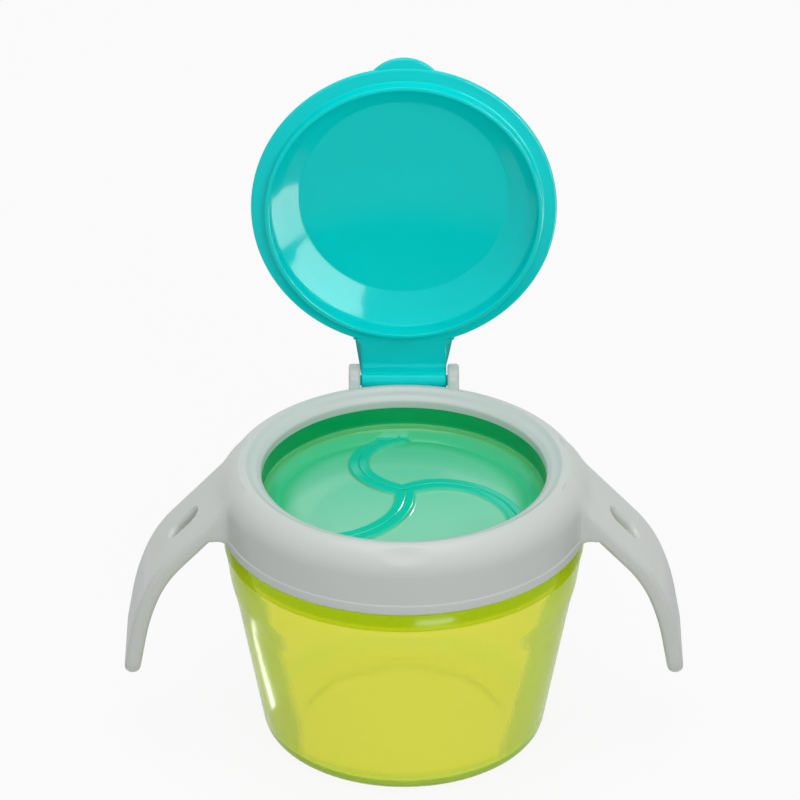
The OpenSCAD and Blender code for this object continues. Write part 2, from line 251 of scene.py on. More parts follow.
def outer_line(s):
    """Point on the strap's outer face s mm from the root, and its slope."""
    p = ROOT + min(s, STOPS[0]) * np.array((math.cos(A0), -math.sin(A0)))
    if s <= STOPS[0]:
        return p, A0
    a = A0 + min(s - STOPS[0], STOPS[1] - STOPS[0]) / BEND_1
    p = p + turned_by(BEND_1, A0, a)
    if s <= STOPS[1]:
        return p, a
    a = A1 + min(s - STOPS[1], STOPS[2] - STOPS[1]) / BEND_2
    p = p + turned_by(BEND_2, A1, a)
    if s > STOPS[2]:
        p = p + (s - STOPS[2]) * np.array((math.cos(A2), -math.sin(A2)))
    return p, a


print("handle runs", round(RUN_0, 1), "mm straight, is", round(LENGTH, 1), "mm long")

# %% [markdown]
# ## A shared skin for ring and strap
# Each shape is described by a distance: negative inside it, zero on its skin.
# Taking the smaller of two distances joins the shapes, and rounding off that
# choice near the seam gives the fillet. Points near the seam are then pushed
# along the distance's slope until they lie on the joined skin.

# %% Distances to the ring and to the strap
FILLET = 2.2


def ring_gap(x, y, z):
    """Distance to the ring's outer skin, negative inside it. z is from the opening's edge."""
    r = math.hypot(x, y)
    if z <= CROWN_Z:
        return r - SKIRT_R - (LIP_R - SKIRT_R) * min(max((LIP_TOP - z) / 0.4, 0), 1)
    if r > CROWN_C:
        return math.hypot(r - CROWN_C, z - CROWN_Z) - CROWN_R
    return z - CROWN_Z - CROWN_R


def strap_gap(x, y, z):
    """Distance to the straight top of the strap, as a box with eased edges."""
    px, pz = abs(x) - ROOT[0], z - ROOT[1]
    out = px * math.sin(A0) + pz * math.cos(A0)
    under = min(-out - THICK, UNDER_Z - z)
    d = (out + EASED, under + EASED, abs(y) - WIDE / 2 + EASED)
    return math.sqrt(sum(max(v, 0) ** 2 for v in d)) + min(max(d), 0) - EASED


def union_gap(p):
    """Smooth union of both: near the seam the smaller distance is rounded off into a fillet."""
    a, b = ring_gap(*p), strap_gap(*p)
    h = max(FILLET - abs(a - b), 0) / FILLET
    return min(a, b) - h * h * FILLET / 4


print("the ring's skin at its widest:", round(ring_gap(SKIRT_R, 0, CROWN_Z), 3), "mm away")


# %% Laying points on the shared skin
def near_joint(p, own, other):
    """True for a point on its own skin that the other shape comes close to."""
    beside = abs(p[1]) > 20 or math.hypot(p[0], p[1]) < 40.5 or p[2] < -13.2
    return not beside and abs(own(*p)) <= 0.35 and -6 < other(*p) < 3


def lay_on_union(verts, own, other):
    """Moves points near the joint onto the union; past the seam they dip just under it."""
    step = 0.01
    out = []
    for x, y, z in verts:
        p = np.array((x, y, z - RIM))
        if not near_joint(p, own, other):
            out.append((x, y, z))
            continue
        for _ in range(5):
            f = union_gap(p)
            g = np.array([(union_gap(p + d) - union_gap(p - d)) / (2 * step) for d in np.eye(3) * step])
            p = p - f * g / max(float(g @ g), 0.2)
        past = own(*p) - other(*p)
        if past > 0:
            p = p - g / np.linalg.norm(g) * min(0.3, past * 0.4)
        out.append((p[0], p[1], p[2] + RIM))
    return out


print("the fillet starts where both distances are within", FILLET, "mm of each other")

# %% [markdown]
# ## The ring
# The ring has a fat round crown, a straight skirt and a small lip at its foot.
# A shallow hollow in front gives a thumb room under the lid's tab. The ring is
# turned from one closed section, and the hollow is pressed in point by point
# while it turns.

# %% Collar ring mesh
HOLLOW_W, HOLLOW_H, HOLLOW_DEEP, HOLLOW_AT = 6.6, 2.9, 0.55, math.radians(48)


def thumb_hollow(x, y, z):
    """Presses a shallow dish into the front of the crown."""
    r = math.hypot(x, y)
    if y > -30 or r < 39.2 or z < RIM - 6:
        return (x, y, z)
    a = math.atan2(z - RIM - CROWN_Z, r - CROWN_C)
    d2 = (x / HOLLOW_W) ** 2 + ((a - HOLLOW_AT) * CROWN_R / HOLLOW_H) ** 2
    if d2 >= 1:
        return (x, y, z)
    depth = HOLLOW_DEEP * (1 - d2) ** 1.6
    k = depth * math.cos(a) / r
    return (x * (1 - k), y * (1 - k), z - depth * math.sin(a))


RIB_R, INSERT_TOP = 38.0, -3.2
mouth = soften([(OPENING_R, -0.55, 0), (OPENING_R, 0.3, 0), (35.15, 1.35, 0.9), (BORE_R, 2.2, 1.4),
                (37.7, 2.62, 2.6), (38.9, 3.4, 1.6), (39.7, 3.2, 0)], 8)
crown = arc(CROWN_C, CROWN_Z, CROWN_R, 71, 0, 30)
skirt = [(SKIRT_R, CROWN_Z - 0.8 * k) for k in range(1, 9)]
lip = soften([(SKIRT_R, -10.6, 0), (SKIRT_R, -10.85, 0.3), (LIP_R - 0.05, -11.15, 0.3),
              (LIP_R, LIP_FOOT, 0.7), (SKIRT_IN_R, LIP_FOOT, 0.4), (SKIRT_IN_R, -3.9, 0)], 5)
crown_in = arc(CROWN_C, CROWN_Z, CROWN_R - 2.1, 4, 42, 6)
insert_rib = soften([(39.6, -0.5, 0), (RIB_R, -0.5, 0.3), (RIB_R, INSERT_TOP, 0.2), (BORE_R, INSERT_TOP, 0.1),
                     (BORE_R, -0.6, 0), (35.2, -0.6, 0)], 2)
ring_section = mouth + crown + skirt + lip + crown_in + insert_rib
ring_v, ring_f = turned(ring_section, 320, z0=RIM, bend=thumb_hollow)
collar_ring = piece("collar_ring", lay_on_union(ring_v, ring_gap, strap_gap), ring_f, 40)
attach(collar_ring, "collar")
print("collar ring:", len(collar_ring.data.polygons), "faces")

# %% [markdown]
# ## The strap handles
# A handle is a flat strap with eased edges that slopes off the crown and then
# hangs down, with a slot near its root. It is lofted: one rounded section is
# placed again and again along the handle's line, and it narrows to a round end
# at the tip. Both handles come from one function, mirrored.

# %% Strap sections
STRAP_POINTS, TIP_ROUND, TIP_THIN = 112, 5.0, 3.6


def rim_of(w, t, round_by, n=12):
    """Rounded rectangle as (across, depth) points; depth 0 is the outer face."""
    e = min(round_by, w * 0.98, t * 0.49)
    pts = []
    for cx, cy, a in ((w - e, e, -90), (w - e, t - e, 0), (-w + e, t - e, 90), (-w + e, e, 180)):
        pts += arc(cx, cy, e, a, a + 90, n)
    return pts


def even(pts, n):
    """The same closed outline with n points spread evenly."""
    q = np.array(pts + [pts[0]])
    s = np.concatenate([[0], np.cumsum(np.linalg.norm(np.diff(q, axis=0), axis=1))])
    at = np.linspace(0, s[-1], n, endpoint=False)
    return np.stack([np.interp(at, s, q[:, 0]), np.interp(at, s, q[:, 1])], 1)


def strap_section(s):
    """The strap's section s mm from its root, as points in space. Near the ring its underside is lowered."""
    e = LENGTH - s
    w = WIDE / 2
    if e < TIP_ROUND:
        w += -TIP_ROUND + math.sqrt(TIP_ROUND ** 2 - (TIP_ROUND - e) ** 2)
    t = THICK
    if e < TIP_THIN:
        t *= math.sqrt(max(1 - ((TIP_THIN - e) / TIP_THIN) ** 2, 0.004))
    ring = even(rim_of(w, t, EASED), STRAP_POINTS)
    ring[:, 1] += (THICK - t) / 2
    p, a = outer_line(s)
    drop = 0.0
    if s < STOPS[0]:
        drop = max(0.0, ROOT[1] - THICK * math.cos(A0) - s * math.sin(A0) - UNDER_Z)
    return [(p[0] - d * math.sin(a), c, p[1] - d * math.cos(a) - drop * min(max((d - 0.6) / 2.8, 0), 1))
            for c, d in ring]


print("strap section:", STRAP_POINTS, "points,", WIDE, "by", THICK, "mm")


# %% Strap mesh
def strap_handle(name, flip):
    """Lofts the strap from just inside the ring to its tip; flip mirrors it to the left."""
    n = STRAP_POINTS
    stations = [0.8 * k for k in range(34)]
    stations += list(np.linspace(stations[-1] + 0.9, LENGTH - 6, 34))
    stations += [LENGTH - 6 * (1 - math.sin(math.pi / 2 * k / 18)) ** 1.3 - 0.004 for k in range(1, 19)]
    rows = [strap_section(s) for s in stations]
    # each line of the loft starts just inside the ring's skin
    deep = []
    for k in range(n):
        for j in range(len(stations)):
            x, y, z = rows[j][k]
            if ring_gap(x, y, z) > -1.3:
                break
        deep.append(j)
    for k in range(n):
        for j in range(deep[k]):
            rows[j][k] = rows[deep[k]][k]
    first = min(deep)
    verts, faces = [], []
    for row in rows:
        verts += [(x, y, z + RIM) for x, y, z in row]
    verts = lay_on_union(verts, strap_gap, ring_gap)
    if flip:
        verts = [(-x, y, z) for x, y, z in verts]
    for j in range(first, len(rows) - 1):
        for k in range(n):
            m = (k + 1) % n
            faces.append((j * n + k, j * n + m, (j + 1) * n + m, (j + 1) * n + k))
    last = (len(rows) - 1) * n
    faces += [tuple(first * n + k for k in range(n)), tuple(last + k for k in range(n))]
    obj = piece(name, verts, faces, 40)
    bm = bmesh.new()
    bm.from_mesh(obj.data)
    bmesh.ops.remove_doubles(bm, verts=bm.verts, dist=0.00001)
    bmesh.ops.dissolve_degenerate(bm, edges=bm.edges, dist=0.00001)
    bmesh.ops.delete(bm, geom=[v for v in bm.verts if not v.link_faces], context="VERTS")
    bm.to_mesh(obj.data)
    bm.free()
    shade(obj.data, 40)
    return obj


print("strap lofted over", round(LENGTH, 1), "mm")

# %% [markdown]
# ## The slots in the handles
# Each strap has a round-ended slot with a softened mouth. A bar with flared
# ends is cut out of the strap, so the soft mouth comes with the cut. The
# slot's own walls get a second material slot, because they are duller and
# carry painted light from the pot.

# %% Slot cutter
SLOT_AT, SLOT_HALF, SLOT_R = 20.8, 2.25, 2.45


def slot_cutter(flip):
    """A round-ended bar that widens where it leaves the outer face."""
    verts, faces, n = [], [], 40
    levels = ((-12, 1.2), (-4.9, 1.0), (-4.0, 0.3), (-3.4, 0.0), (-1.2, 0.0), (-0.7, 0.12), (-0.35, 0.4),
              (-0.05, 0.8), (0.3, 1.2), (12, 1.6))
    for z, grow in levels:
        for k in range(n):
            t = 2 * math.pi * k / n
            cx = SLOT_HALF if math.cos(t) >= 0 else -SLOT_HALF
            verts.append((cx + (SLOT_R + grow) * math.cos(t), (SLOT_R + grow) * math.sin(t), z))
    for j in range(len(levels) - 1):
        for k in range(n):
            m = (k + 1) % n
            faces.append((j * n + k, j * n + m, (j + 1) * n + m, (j + 1) * n + k))
    faces += [tuple(range(n)), tuple((len(levels) - 1) * n + k for k in range(n))]
    p, a = outer_line(SLOT_AT)
    turn = Matrix.Translation((p[0], 0, RIM + p[1])) @ Matrix.Rotation(A0, 4, "Y")
    pts = [turn @ Vector(v) for v in verts]
    return piece("cutter", [(-q.x if flip else q.x, q.y, q.z) for q in pts], faces)


print("slot:", 2 * (SLOT_HALF + SLOT_R), "by", 2 * SLOT_R, "mm")


# %% Cutting the slots
def cut(obj, tool):
    """Cuts the tool out of the strap and marks the faces of the slot's walls."""
    mod = obj.modifiers.new("cut", "BOOLEAN")
    mod.operation, mod.solver, mod.object = "DIFFERENCE", "EXACT", tool
    deps = bpy.context.evaluated_depsgraph_get()
    mesh = bpy.data.meshes.new_from_object(obj.evaluated_get(deps))
    obj.modifiers.clear()
    old, obj.data = obj.data, mesh
    bpy.data.meshes.remove(old)
    bpy.data.objects.remove(tool)
    shade(obj.data, 30)
    p, a = outer_line(SLOT_AT)
    for f in obj.data.polygons:
        x, y, z = f.center / MM
        along = (abs(x) - p[0]) * math.cos(A0) - (z - RIM - p[1]) * math.sin(A0)
        deep = -(abs(x) - p[0]) * math.sin(A0) - (z - RIM - p[1]) * math.cos(A0)
        in_slot = math.hypot(max(abs(along) - SLOT_HALF, 0), y) < SLOT_R + 0.3
        f.material_index = int(in_slot and 0.9 < deep < THICK - 0.6)


handles = []
for side, flip in (("right", False), ("left", True)):
    h = strap_handle("handle_" + side, flip)
    cut(h, slot_cutter(flip))
    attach(h, "collar")
    handles.append(h)
    print(h.name, len(h.data.polygons), "faces")

# %% [markdown]
# ## The hinge ears
# Two upright ears at the back of the ring hold the lid's pins. Each is a flat
# plate with a round top, so it is drawn from the side, given its thickness and
# then eased along every edge.

# %% Ear meshes
EAR_IN, EAR_T, EAR_R = 10.95, 2.9, 4.2


def plate(outline, x0, x1, round_by, segs=3):
    """A plate in the YZ plane between two x places, with eased edges."""
    n = len(outline)
    verts = [(x0, y, z) for y, z in outline] + [(x1, y, z) for y, z in outline]
    faces = [tuple(range(n)), tuple(range(2 * n - 1, n - 1, -1))]
    faces += [(k, (k + 1) % n, n + (k + 1) % n, n + k) for k in range(n)]
    bm = bmesh.new()
    vs = [bm.verts.new(v) for v in verts]
    for f in faces:
        bm.faces.new([vs[i] for i in f])
    bmesh.ops.recalc_face_normals(bm, faces=bm.faces)
    rims = [e for e in bm.edges if abs(e.verts[0].co.x - e.verts[1].co.x) < 1e-6]
    bmesh.ops.bevel(bm, geom=rims, offset=round_by, segments=segs, affect="EDGES", profile=0.5)
    out = [tuple(v.co) for v in bm.verts]
    bm.verts.index_update()
    tris = [tuple(v.index for v in f.verts) for f in bm.faces]
    bm.free()
    return out, tris


ear_line = ([(39.2, -3.0), (39.2, 2.6), (41.6, 2.95), (42.7, 3.2), (HINGE_Y - 3.05, HINGE_Z + 2.85)]
            + arc(HINGE_Y, HINGE_Z, EAR_R, 135, -30, 18)
            + [(HINGE_Y + 0.1, -7.0), (43.9, -9.4), (42.0, -9.4)])
ears = []
for side, x0 in (("left", -EAR_IN - EAR_T), ("right", EAR_IN)):
    v, f = plate([(y, z + RIM) for y, z in ear_line], x0, x0 + EAR_T, 0.7)
    ear = piece("hinge_ear_" + side, v, f, 50)
    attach(ear, "collar")
    ears.append(ear)
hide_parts("collar")
print("ears:", EAR_T, "mm thick, inner faces", 2 * EAR_IN, "mm apart")

# %% [markdown]
# ## The soft insert
# The insert is soft see-through elastomer: a wall just inside the mouth, a
# flange that the pot's neck presses, and a domed skin. The wall is turned by
# itself, with a small bead at its foot, because it stays still while the skin's
# three flaps bend.

# %% Insert wall
FLANGE_OUT_R, FLANGE_FOOT, WALL_FOOT = 41.9, -4.3, -6.9
wall_section = soften([
    (35.05, -0.6, 0), (BORE_R - 0.05, -0.6, 0.1), (BORE_R - 0.05, INSERT_TOP, 0.1),
    (FLANGE_OUT_R, INSERT_TOP, 0.3), (FLANGE_OUT_R, FLANGE_FOOT, 0.3), (BORE_R, FLANGE_FOOT, 0.2),
    (BORE_R, WALL_FOOT, 0.5), (33.9, WALL_FOOT, 0), (33.9, -5.74, 0), (34.4, -5.72, 0.1), (34.45, -5.3, 0.2),
    (34.95, -5.1, 0.1), (35.05, -4.6, 0.2)], 4, closed=True)
insert_wall = piece("insert_wall", *turned(wall_section, 224, z0=RIM), 50)
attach(insert_wall, "collar")
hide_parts("insert")
print("insert wall:", len(insert_wall.data.polygons), "faces")

# %% [markdown]
# ## The slits in the skin
# Three curved slits run out from the middle of the skin, each an arc of one
# circle, with a thick rib on each side. The height of every point of the skin
# comes from two numbers: its distance from the middle, which gives the dome and
# the gutter round it, and its distance from the nearest slit, which gives the
# rib.

# %% Slit geometry
SLIT_L, SLIT_SAG, SLIT_TURN = 32, 10.6, 2.3
SLIT_R = (SLIT_L ** 2 / 4 + SLIT_SAG ** 2) / (2 * SLIT_SAG)
SLIT_C = (SLIT_R - SLIT_SAG, SLIT_L / 2)


def slit_angle(r):
    """Bearing at which the first slit crosses radius r, in its own frame, in radians."""
    if r >= SLIT_L:
        return math.pi / 2
    d = math.hypot(*SLIT_C)
    lean = math.acos(max(-1, min(1, r / (2 * SLIT_R))))
    return math.atan2(SLIT_C[1], SLIT_C[0]) + lean


def slit_gap(x, y):
    """Distance from the nearest of the three slits."""
    best = 99.0
    for k in range(3):
        a = math.radians(120 * k)
        px, py = x * math.cos(a) - y * math.sin(a), x * math.sin(a) + y * math.cos(a)
        q = (px - SLIT_C[0], py - SLIT_C[1])
        ang = math.atan2(q[1], q[0])
        lo = math.atan2(SLIT_L - SLIT_C[1], -SLIT_C[0])
        hi = math.atan2(-SLIT_C[1], -SLIT_C[0]) + 2 * math.pi
        ang = ang if ang > 0 else ang + 2 * math.pi
        if lo <= ang <= hi:
            best = min(best, abs(math.hypot(*q) - SLIT_R))
        best = min(best, math.hypot(px, py - SLIT_L), math.hypot(px, py))
    return best


print("slits are arcs of", round(SLIT_R, 1), "mm radius")

# %% Height of the skin
SKIN_R, SKIN_T = 35.15, 1.0
DOME_TOP, DOME_SAG, GUTTER_R, GUTTER_RISE = -5.1, 4.1, 30.8, 3.3
RIB_W, RIB_H, SLIT_EDGE = 2.75, 0.95, 0.15


def ease(t):
    """Goes from 0 to 1 with soft ends."""
    t = max(0.0, min(1.0, t))
    return t * t * (3 - 2 * t)


def dome(r):
    """The skin falls from its middle to a gutter and climbs again to the wall."""
    return DOME_TOP - DOME_SAG * (r / OPENING_R) ** 2 + GUTTER_RISE * ease((r - GUTTER_R) / 3.6)


def skin_height(x, y, d):
    """Height of the top face d mm from a slit, and how much of it is rib."""
    r = math.hypot(x, y)
    rib = ease((RIB_W - d) / 0.55) * (1 - ease((r - 30.4) / 3.0))
    worn = max(0.0, 1 - d / 0.3)
    return dome(r) + RIB_H * rib - SLIT_EDGE * worn, rib


print("dome from", dome(0), "to", round(dome(GUTTER_R), 2), "and up to", round(dome(SKIN_R), 2), "mm")

# %% [markdown]
# ## The three flaps
# The skin is laid out on rings and spokes that follow the slits, so the ribs
# stay crisp where the skin is cut. Each third is its own closed piece.

# %% Skin sectors
def sector(k):
    """One third of the skin, between slit k and the next."""
    nr, nt = 92, 110
    spin = math.radians(SLIT_TURN - 120 * k)
    tops, bots, ribs, outs = [], [], [], []
    for i in range(nr + 1):
        r = 0.25 + (SKIN_R - 0.25) * (i / nr) ** 0.92
        a1 = slit_angle(r)
        trim = min(0.05 / max(r, 0.3), 0.3) if r < SLIT_L else 0.0
        for j in range(nt + 1):
            t = j / nt
            t = t - 0.11 * math.sin(2 * math.pi * t) / (2 * math.pi) * 4.0
            a = a1 - trim - (math.radians(120) - 2 * trim) * t
            x, y = r * math.cos(a), r * math.sin(a)
            z, rib = skin_height(x, y, slit_gap(x, y))
            place = (x * math.cos(spin) - y * math.sin(spin), x * math.sin(spin) + y * math.cos(spin))
            tops.append((*place, z + RIM))
            bots.append((*place, dome(r) - SKIN_T + RIM))
            ribs.append(rib)
            outs.append(r / SKIN_R)
    w = nt + 1
    faces = []
    for i in range(nr):
        for j in range(nt):
            q = (i * w + j, i * w + j + 1, (i + 1) * w + j + 1, (i + 1) * w + j)
            faces.append(q)
    n = len(tops)
    faces += [tuple(n + v for v in reversed(q)) for q in list(faces)]
    edge = (list(range(nt)) + [i * w + nt for i in range(nr)]
            + [nr * w + j for j in range(nt, 0, -1)] + [i * w for i in range(nr, 0, -1)])
    for a, b in zip(edge, edge[1:] + edge[:1]):
        faces.append((a, b, n + b, n + a))
    obj = piece("flap_skin_%d" % (k + 1), tops + bots, faces, 55)
    for mark, values in (("rib", ribs), ("out", outs)):
        obj.data.attributes.new(mark, "FLOAT", "POINT").data.foreach_set("value", values + values)
    return obj


flaps = []
for k in range(3):
    flap = sector(k)
    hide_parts("flap_%d" % (k + 1))
    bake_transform(flap)
    flaps.append(flap)
    print(flap.name, len(flap.data.polygons), "faces")

# %% [markdown]
# ## The flip lid
# The lid is one moulding: a flange, a thin plug ring, a dished middle, a thumb
# tab, and a strap down to the hinge's barrel. It is turned and plated in its
# shut place, where its sizes are easy to read, and then swung open about the
# hinge.

# %% Lid sizes
FLANGE_R, FLANGE_T, FLANGE_Z = 38.1, 1.8, CROWN_TOP + 0.3
FLANGE_TOP = FLANGE_Z + FLANGE_T
PLUG_R, PLUG_IN_R, PLUG_FOOT = 34.6, 33.4, FLANGE_Z - 3.2
DISH_C, DISH_R, DISH_Z, LID_WALL = 26.8, 6.6, FLANGE_Z + 7.0, 1.6
FLOOR_Z = DISH_Z - 0.15
swing = (Matrix.Translation((0, HINGE_Y, RIM + HINGE_Z)) @ Matrix.Rotation(math.radians(-LID_OPEN), 4, "X")
         @ Matrix.Translation((0, -HINGE_Y, -HINGE_Z)))
print("flange", 2 * FLANGE_R, "mm across, dish", DISH_Z - FLANGE_Z, "mm deep")


# %% Lid dish
def swung(verts):
    """Points of the shut lid, moved to where they are with the lid open."""
    return [tuple(swing @ Vector(v)) for v in verts]


dish_in = soften([(25.2, FLOOR_Z, 0), (26.2, FLOOR_Z, 0.8), (30.4, DISH_Z - 3.1, 14.0),
                  (PLUG_IN_R, FLANGE_Z + 1.3, 3.0), (PLUG_IN_R, FLANGE_Z + 0.1, 0)], 9)
plug_and_flange = soften([
    (PLUG_IN_R, FLANGE_Z + 0.1, 0), (PLUG_IN_R, PLUG_FOOT, 0.45), (PLUG_R, PLUG_FOOT, 0.45),
    (PLUG_R, FLANGE_Z, 0.5), (FLANGE_R, FLANGE_Z, 0.7), (FLANGE_R, FLANGE_TOP, 0.8),
    (35.0, FLANGE_TOP, 0.6), (34.75, FLANGE_Z + 2.6, 0)], 6)
dish_out = arc(DISH_C, DISH_Z - DISH_R, DISH_R + LID_WALL, 18, 90, 16)
lid_section = ([(0, FLOOR_Z), (24.0, FLOOR_Z)] + dish_in + plug_and_flange + dish_out
               + [(0, DISH_Z + LID_WALL)])
v, f = turned(lid_section, 256, closed=False)
lid_dish = piece("lid_dish", swung(v), f, 50)
print("lid dish:", len(lid_dish.data.polygons), "faces")

# %% [markdown]
# ## The lid's strap, tab and pins
# The strap is a plate drawn from the side, a little narrower than the gap
# between the ears. It flares where it meets the flange, so the two look moulded
# in one. The thumb tab is a slice of a disc, and the two pins are the ends of
# one thin rod.

# %% Lid strap
STRAP_HALF, BARREL_R, STRAP_FROM, FLARE = 10.7, 2.3, 36.2, 1.7
strap_line = [(STRAP_FROM, FLANGE_Z + 0.12), (STRAP_FROM, FLANGE_Z + 1.7)]
strap_line += [(36.5 + 0.2 * k, FLANGE_TOP) for k in range(12)]
strap_line += soften([(38.9, FLANGE_TOP, 0), (HINGE_Y - 2.0, FLANGE_TOP, 1.5),
                     (HINGE_Y + 1.0, FLANGE_Z + 1.1, 2.5), (HINGE_Y + BARREL_R, HINGE_Z + 1.2, 2.0),
                     (HINGE_Y + BARREL_R, HINGE_Z - 0.1, 0)], 5)
strap_line += arc(HINGE_Y, HINGE_Z, BARREL_R, -4, -180, 14)
strap_line += soften([(HINGE_Y - BARREL_R, HINGE_Z, 0), (HINGE_Y - BARREL_R, FLANGE_Z - 0.4, 1.2),
                      (HINGE_Y - 3.2, FLANGE_Z, 1.2), (38.7, FLANGE_Z, 0)], 5)
strap_line += [(38.7 - 0.2 * k, FLANGE_Z) for k in range(1, 8)]
strap_line += [(37.1, FLANGE_Z + 0.03), (36.7, FLANGE_Z + 0.06)]
v, f = plate(strap_line, -STRAP_HALF, STRAP_HALF, 0.4)
v = [(x + math.copysign(FLARE * max(0.0, (38.6 - y) / 2.1) ** 2.2, x), y, z) for x, y, z in v]
lid_strap = piece("lid_hinge_strap", swung(v), f, 42)
print("strap:", 2 * STRAP_HALF, "mm wide over a", 2 * BARREL_R, "mm barrel")

# %% Thumb tab and pins
TAB_TIP, TAB_R, PIN_R, PIN_HALF = -40.55, 10.2, 1.3, 12.7
tab_line = arc(0, TAB_TIP + TAB_R, TAB_R, 208, 332, 40)
v, f = plate(tab_line, FLANGE_Z + 0.45, FLANGE_Z + 2.1, 0.55)
lid_tab = piece("lid_thumb_tab", swung([(b, c, a) for a, b, c in v]), f, 50)

pin_half = [(PIN_R, PIN_HALF - 0.2), (PIN_R - 0.2, PIN_HALF), (0, PIN_HALF)]
pin_section = [(x, -z) for x, z in reversed(pin_half)] + pin_half
v, f = turned(pin_section, 32, closed=False)
lid_pins = piece("lid_hinge_pins", swung([(c, b + HINGE_Y, a + HINGE_Z) for a, b, c in v]), f, 50)
lid_parts = [lid_dish, lid_strap, lid_tab, lid_pins]
for p in lid_parts:
    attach(p, "lid")
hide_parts("lid")
print("lid:", sum(len(p.data.polygons) for p in lid_parts), "faces")

# %% [markdown]
# ## A small language for plastics
# Node graphs are easier to read as sums, so a socket is wrapped in a class
# whose plus, minus and times add Math nodes. Everything else a material needs
# comes from one method that makes a node, sets it up and plugs its inputs.

# %% Sockets that add up
class Wire:
    """An output socket. Sums and products of wires add Math nodes."""

    def __init__(self, nodes, socket):
        self.nodes, self.socket = nodes, socket

    def _math(self, kind, a, b):
        return self.nodes.node("ShaderNodeMath", {"operation": kind}, {0: a, 1: b})[0]

    def __add__(self, other):
        return self._math("ADD", self, other)

    def __mul__(self, other):
        return self._math("MULTIPLY", self, other)

    def __sub__(self, other):
        return self._math("SUBTRACT", self, other)

    def __rsub__(self, other):
        return self._math("SUBTRACT", other, self)

    def __truediv__(self, other):
        return self._math("DIVIDE", self, other)

    def __pow__(self, other):
        return self._math("POWER", self, other)

    def larger(self, other):
        return self._math("MAXIMUM", self, other)

    __radd__ = __add__
    __rmul__ = __mul__


print("a wire can be added, scaled, divided, raised and compared")


# %% A node tree in plain words
class Nodes:
    """A node tree with one way to add any node, and the few patterns that come back."""

    def __init__(self, tree):
        self.tree = tree

    def plug(self, wire, socket):
        self.tree.links.new(wire.socket, socket)

    def node(self, kind, settings=None, inputs=None):
        """Adds a node: its settings first, then a value or a wire for each input."""
        n = self.tree.nodes.new(kind)
        for key, value in (settings or {}).items():
            setattr(n, key, value)
        for key, value in (inputs or {}).items():
            if isinstance(value, Wire):
                self.plug(value, n.inputs[key])
            else:
                n.inputs[key].default_value = value
        return [Wire(self, out) for out in n.outputs]

    def place(self):
        """The point's place on the object, in millimetres from the pot's foot: whole, x, y, z."""
        pos = self.node("ShaderNodeNewGeometry")[0]
        whole = self.node("ShaderNodeVectorMath", {"operation": "SCALE"}, {0: pos, "Scale": 1 / MM})[0]
        return [whole] + self.node("ShaderNodeSeparateXYZ", None, {0: whole})

    def facing(self):
        """The surface's direction as x, y and z."""
        return self.node("ShaderNodeSeparateXYZ", None, {0: self.node("ShaderNodeNewGeometry")[1]})

    def inner_side(self):
        """1 where the surface is seen from within the wall."""
        return self.node("ShaderNodeNewGeometry")[6]

    def mark(self, name):
        """A number stored on the mesh's points."""
        return self.node("ShaderNodeAttribute", {"attribute_name": name})[2]

    def noise(self, place, scale, detail=2.0):
        return self.node("ShaderNodeTexNoise", None, {"Vector": place, "Scale": scale, "Detail": detail})[0]

    def blend(self, factor, a, b):
        """Colour a where the factor is 0, colour b where it is 1."""
        settings = {"data_type": "RGBA", "clamp_factor": True}
        return self.node("ShaderNodeMix", settings, {0: factor, 6: a, 7: b})[2]

    def ease(self, value, low, high):
        """Runs from 0 at low to 1 at high with soft ends."""
        return self.node("ShaderNodeMapRange", {"interpolation_type": "SMOOTHSTEP"},
                         {"Value": value, "From Min": low, "From Max": high})[0]

    def looked_at(self):
        """1 where the camera, a mirror or clear plastic looks straight at this surface."""
        path = {wire.socket.name: wire for wire in self.node("ShaderNodeLightPath")}
        seen = path["Is Camera Ray"].larger(path["Is Transmission Ray"])
        return seen.larger(path["Is Glossy Ray"])


print("node trees can blend, ease, read places and take noise")


# %% A plastic
class Plastic(Nodes):
    """A material with its Principled shader."""

    def __init__(self, name, **constant):
        self.mat = bpy.data.materials.new(name)
        self.mat.use_nodes = True
        super().__init__(self.mat.node_tree)
        self.shader = self.tree.nodes["Principled BSDF"]
        self.end = self.tree.nodes["Material Output"]
        for key, value in constant.items():
            self.shader.inputs[key.replace("_", " ")].default_value = value

    def feed(self, socket, wire):
        self.plug(wire, self.shader.inputs[socket])

    def bump(self, height, strength, distance):
        inputs = {"Strength": strength, "Distance": distance, "Height": height}
        self.feed("Normal", self.node("ShaderNodeBump", None, inputs)[0])

    def mix_in(self, share, other):
        """Mixes a share of another shader into this one."""
        own = Wire(self, self.shader.outputs[0])
        mixed = self.node("ShaderNodeMixShader", None, {0: share, 1: own, 2: other})[0]
        self.plug(mixed, self.end.inputs["Surface"])

    def on(self, *objs):
        for o in objs:
            o.data.materials.clear()
            o.data.materials.append(self.mat)


print("plastics can be fed, bumped, mixed and put on pieces")

# %% [markdown]
# ## The lid's finish
# The lid is glossy teal. Moulded plastic is never perfectly flat or evenly
# bright, so every finish here has a slow ripple and a change of gloss at the
# scale of a fingertip. They come from noise that is read at the object's own
# places, so no image and no unwrapping is needed.

# %% Lid plastic
teal = Plastic("teal_gloss_plastic", Specular_IOR_Level=0.14, Coat_Roughness=0.03)
where = teal.place()[0]
teal_dark, teal_light = (0.0005, 0.66, 0.66, 1), (0.0008, 0.72, 0.715, 1)
teal.feed("Base Color", teal.blend(teal.noise(where, 0.03), teal_dark, teal_light))
teal.feed("Roughness", 0.09 + 0.05 * teal.noise(where, 0.25))
teal.bump(teal.noise(where, 0.12, 1.0), 0.05, 0.0004)
teal.on(*lid_parts)
print(teal.mat.name, "on", len(lid_parts), "pieces")
